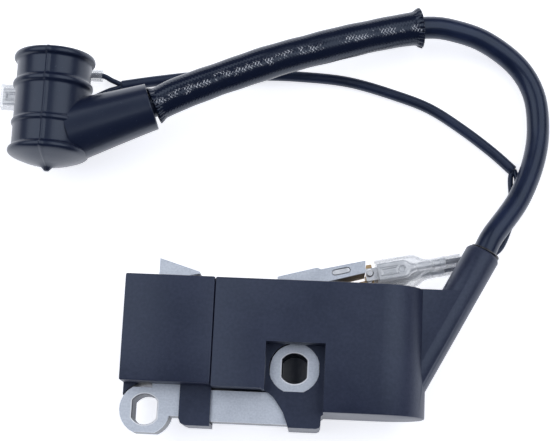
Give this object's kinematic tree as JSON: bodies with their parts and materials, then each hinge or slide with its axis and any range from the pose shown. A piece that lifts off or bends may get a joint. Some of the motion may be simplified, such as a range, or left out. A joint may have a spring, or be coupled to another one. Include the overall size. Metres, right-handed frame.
{
  "type": "ignition coil",
  "caption": "Ignition coil module: laminated U core in two black plastic housings, clear-sleeved spade terminals, and a high-tension lead with braided sleeve and rubber plug boot.",
  "frame": {"origin": "centre of the base of the box round the rigid part, on the plane of the housings' open back faces, without the free lead, harness and boot", "axes": "+X along the housings from the mounting ear to the lead tower, +Y from the mounting holes towards the flywheel pole shoes, +Z from the open backs to the closed front faces"},
  "size_m": [0.1239, 0.0963, 0.0221],
  "materials": {
    "core_steel": "stamped silicon steel sheets, satin",
    "housing": "fine grained dark blue-black moulding",
    "bobbins": "off-white nylon",
    "windings": "enamelled copper wire",
    "potting": "glossy black casting resin",
    "seal": "glossy adhesive bead",
    "board": "tan paper phenolic",
    "terminals": "bright tinned brass",
    "clear_sleeves": "clear flexible vinyl",
    "braid": "varnished glass-fibre braid, black with pale flecks",
    "boot_rubber": "glossy black rubber",
    "lead_jacket": "glossy black lead jacket",
    "wire_jacket": "black wire insulation",
    "components": "small electronic parts, never seen"
  },
  "bodies": {
    "coil": {"lamination_1": "core_steel", "lamination_2": "core_steel", "lamination_3": "core_steel", "lamination_4": "core_steel", "lamination_5": "core_steel", "lamination_6": "core_steel", "lamination_7": "core_steel", "lamination_8": "core_steel", "core_interlock_pole": "core_steel", "core_interlock_leg": "core_steel", "charge_housing": "housing", "charge_bobbin": "bobbins", "charge_winding": "windings", "charge_potting": "potting", "coil_housing": "housing", "ht_core_rod": "core_steel", "primary_bobbin": "bobbins", "primary_winding": "windings", "secondary_bobbin": "bobbins", "secondary_winding": "windings", "trigger_winding": "windings", "circuit_board": "components", "capacitor": "components", "thyristor": "components", "diode_1": "components", "diode_2": "components", "resistor": "components", "main_potting": "potting", "terminal_board": "board", "tab_kill": "terminals", "tab_ground": "terminals", "tab_rivet_kill": "terminals", "tab_rivet_ground": "terminals", "lead_seal": "seal", "ht_contact_pin": "terminals", "ht_lead": "lead_jacket", "abrasion_sleeve": "braid", "harness_tube": "wire_jacket", "wire_kill": "wire_jacket", "wire_ground": "wire_jacket", "far_wire_kill": "wire_jacket", "far_wire_ground": "wire_jacket", "far_terminal_kill": "terminals", "far_terminal_ground": "terminals", "far_sleeve_kill": "clear_sleeves", "far_sleeve_ground": "clear_sleeves"},
    "boot": {"boot": "boot_rubber", "boot_contact_spring": "terminals"},
    "kill_terminal": {"terminal_kill": "terminals"},
    "ground_terminal": {"terminal_ground": "terminals"},
    "kill_sleeve": {"sleeve_kill": "clear_sleeves"},
    "ground_sleeve": {"sleeve_ground": "clear_sleeves"}
  },
  "joints": [
    {"name": "boot_swivel", "type": "hinge", "parent": "coil", "child": "boot", "pos_m": [-0.059, 0.0409, 0.0131], "axis": [0.9403, 0.3404, 0], "range_deg": [0, 90]},
    {"name": "kill_connector_pull", "type": "slide", "parent": "coil", "child": "kill_terminal", "axis": [0.9785, 0.2062, 0], "range_m": [0, 0.007], "deforming": ["wire_kill"]},
    {"name": "ground_connector_pull", "type": "slide", "parent": "coil", "child": "ground_terminal", "axis": [0.9785, 0.2062, 0], "range_m": [0, 0.007], "deforming": ["wire_ground"]},
    {"name": "kill_sleeve_slide", "type": "slide", "parent": "kill_terminal", "child": "kill_sleeve", "axis": [0.9785, 0.2062, 0], "range_m": [0, 0.0045]},
    {"name": "ground_sleeve_slide", "type": "slide", "parent": "ground_terminal", "child": "ground_sleeve", "axis": [0.9785, 0.2062, 0], "range_m": [0, 0.0045]}
  ]
}
